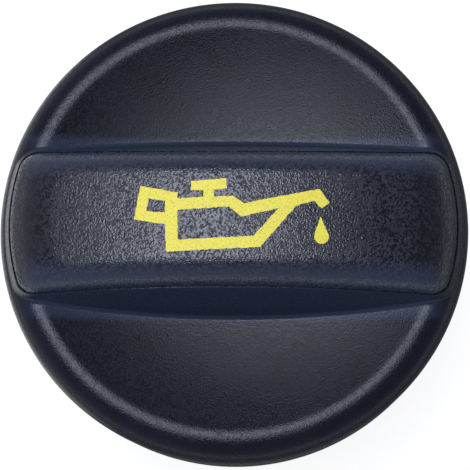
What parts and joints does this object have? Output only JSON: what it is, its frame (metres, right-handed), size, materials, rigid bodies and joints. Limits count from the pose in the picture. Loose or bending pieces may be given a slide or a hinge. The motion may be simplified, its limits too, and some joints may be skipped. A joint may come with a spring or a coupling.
{
  "type": "oil filler cap",
  "caption": "Round oil filler cap with a grip bar between two finger bowls, a bayonet plug and a sealing ring underneath.",
  "frame": {"origin": "on the cap's axis, in the sealing plane at the lower face of the sealing ring", "axes": "+Z along the axis, out of the engine towards the grip bar; +X along the grip bar; +Y across it"},
  "size_m": [0.065, 0.065, 0.0383],
  "materials": {
    "head_plastic": "spark-eroded grain, soft sheen",
    "plug_plastic": "plain moulded",
    "seal_rubber": "matt",
    "yellow_print": "pad print"
  },
  "bodies": {
    "root": {"cap_head": "head_plastic", "grip_cover": "head_plastic", "bayonet_plug": "plug_plastic", "sealing_ring": "seal_rubber"}
  },
  "joints": []
}
